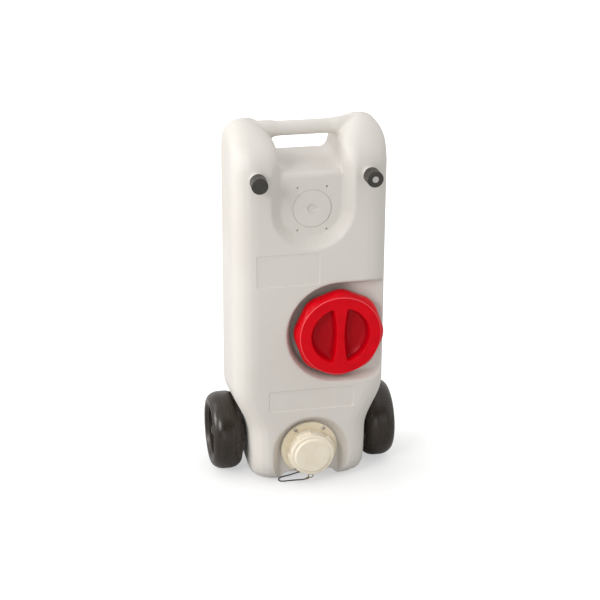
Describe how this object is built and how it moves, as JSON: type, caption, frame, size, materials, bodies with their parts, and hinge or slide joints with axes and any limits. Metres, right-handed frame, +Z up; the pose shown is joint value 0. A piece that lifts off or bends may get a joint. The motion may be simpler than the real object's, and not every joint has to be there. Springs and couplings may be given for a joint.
{
  "type": "portable waste tote",
  "caption": "Tall wheeled waste tank with a carrying bar between two horns, a lobed screw cap, a bayonet drain with a tethered cap and knurled vent caps.",
  "frame": {"origin": "on the floor, under the middle of the object's box", "axes": "+Z up, -Y out of the front face, +X to the right seen from the front"},
  "size_m": [0.391, 0.2547, 0.7749],
  "materials": {
    "tank_hdpe": "fine-grained blow-moulded HDPE",
    "cap_red": "moulded polypropylene, satin gloss",
    "drain_beige": "moulded polypropylene, satin",
    "seal_rubber": "plain black rubber",
    "screw_steel": "zinc-plated steel",
    "cord_black": "braided cord",
    "tether_brass": "polished brass",
    "axle_steel": "drawn steel rod",
    "wheel_plastic": "dark blow-moulded plastic, satin gloss",
    "vent_plastic": "dark moulded plastic",
    "insert_grey": "pale moulded plastic"
  },
  "bodies": {
    "tank": {"tank_shell": "tank_hdpe", "drain_gasket": "seal_rubber", "drain_flange": "drain_beige", "drain_screws": "screw_steel", "tether_cord": "cord_black", "tether_stop": "tether_brass", "axle": "axle_steel", "left_washer": "axle_steel", "right_washer": "axle_steel", "left_axle_cap": "wheel_plastic", "right_axle_cap": "wheel_plastic"},
    "left_wheel": {"left_wheel": "wheel_plastic"},
    "right_wheel": {"right_wheel": "wheel_plastic"},
    "inlet_seal": {"inlet_seal": "seal_rubber"},
    "inlet_cap": {"inlet_cap": "cap_red"},
    "drain_seal": {"drain_seal": "seal_rubber"},
    "drain_cap": {"drain_cap": "drain_beige", "tether_ring": "tether_brass", "tether_sleeve": "tether_brass"},
    "left_vent_seal": {"left_vent_seal": "seal_rubber"},
    "left_vent_cap": {"left_vent_cap": "vent_plastic"},
    "right_vent_seal": {"right_vent_seal": "seal_rubber"},
    "right_vent_cap": {"right_vent_cap": "vent_plastic", "vent_insert": "insert_grey"}
  },
  "joints": [
    {"name": "left_wheel_spin", "type": "hinge", "parent": "tank", "child": "left_wheel", "pos_m": [-0.164, 0.04487, 0.0825], "axis": [1, 0, 0], "continuous": true},
    {"name": "right_wheel_spin", "type": "hinge", "parent": "tank", "child": "right_wheel", "pos_m": [0.164, 0.04487, 0.0825], "axis": [1, 0, 0], "continuous": true},
    {"name": "inlet_rise", "type": "slide", "parent": "tank", "child": "inlet_seal", "axis": [0, -1, 0], "range_m": [0, 0.021]},
    {"name": "inlet_turn", "type": "hinge", "parent": "inlet_seal", "child": "inlet_cap", "pos_m": [0.0567, -0.08363, 0.342], "axis": [0, -1, 0], "range_deg": [0, 720]},
    {"name": "drain_pull", "type": "slide", "parent": "tank", "child": "drain_seal", "axis": [0, -1, 0], "range_m": [0, 0.06]},
    {"name": "drain_turn", "type": "hinge", "parent": "drain_seal", "child": "drain_cap", "pos_m": [0, -0.08363, 0.077], "axis": [0, -1, 0], "range_deg": [0, 25]},
    {"name": "left_vent_rise", "type": "slide", "parent": "tank", "child": "left_vent_seal", "axis": [-0.0523, -0.9986, 0], "range_m": [0, 0.017]},
    {"name": "left_vent_turn", "type": "hinge", "parent": "left_vent_seal", "child": "left_vent_cap", "pos_m": [-0.112, -0.08363, 0.683], "axis": [-0.0523, -0.9986, 0], "range_deg": [0, 1440]},
    {"name": "right_vent_rise", "type": "slide", "parent": "tank", "child": "right_vent_seal", "axis": [0.0523, -0.9986, 0], "range_m": [0, 0.017]},
    {"name": "right_vent_turn", "type": "hinge", "parent": "right_vent_seal", "child": "right_vent_cap", "pos_m": [0.112, -0.08363, 0.683], "axis": [0.0523, -0.9986, 0], "range_deg": [0, 1440]}
  ],
  "couplings": [
    {"joint": "inlet_rise", "follows": "inlet_turn", "m_per_rad": 0.0016711},
    {"joint": "left_vent_turn", "follows": "left_vent_rise", "rad_per_m": 1478.4},
    {"joint": "right_vent_turn", "follows": "right_vent_rise", "rad_per_m": 1478.4}
  ]
}
